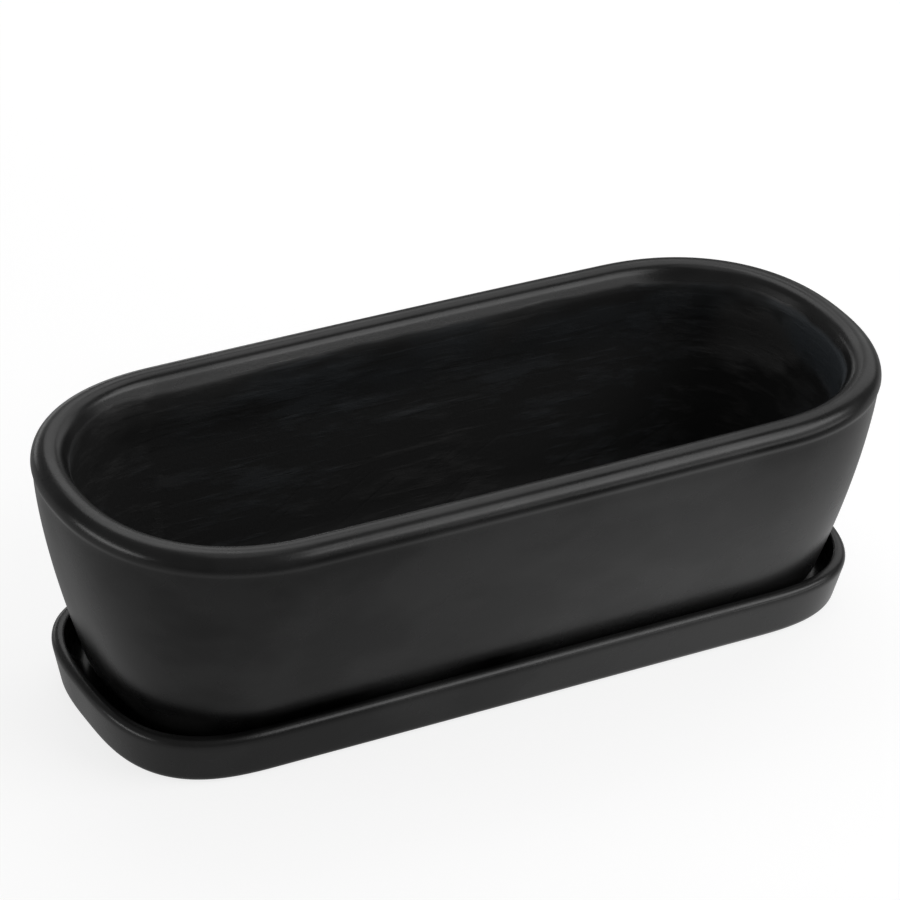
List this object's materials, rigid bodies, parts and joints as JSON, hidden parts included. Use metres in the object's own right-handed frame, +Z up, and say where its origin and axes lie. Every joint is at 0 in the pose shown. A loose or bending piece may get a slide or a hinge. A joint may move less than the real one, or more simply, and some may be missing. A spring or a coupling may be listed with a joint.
{
  "type": "planter",
  "caption": "Long oval ceramic planter with a thick rounded lip, standing in a shallow matching saucer, with rubber stoppers in its drain holes.",
  "frame": {"origin": "middle of the saucer's underside, on the surface that the planter stands on", "axes": "+X along the length, +Y across to the back, +Z up"},
  "size_m": [0.305, 0.132, 0.0945],
  "materials": {
    "black_glaze": "satin black glaze",
    "black_rubber": "matt black rubber"
  },
  "bodies": {
    "saucer": {"saucer": "black_glaze"},
    "pot": {"pot": "black_glaze"},
    "drain_stopper_left": {"drain_stopper_left": "black_rubber"},
    "drain_stopper_right": {"drain_stopper_right": "black_rubber"}
  },
  "joints": [
    {"name": "pot_lift", "type": "slide", "parent": "saucer", "child": "pot", "axis": [0, 0, 1], "range_m": [0, 0.06]},
    {"name": "stopper_left_pull", "type": "slide", "parent": "pot", "child": "drain_stopper_left", "axis": [0, 0, 1], "range_m": [0, 0.1]},
    {"name": "stopper_right_pull", "type": "slide", "parent": "pot", "child": "drain_stopper_right", "axis": [0, 0, 1], "range_m": [0, 0.1]}
  ]
}
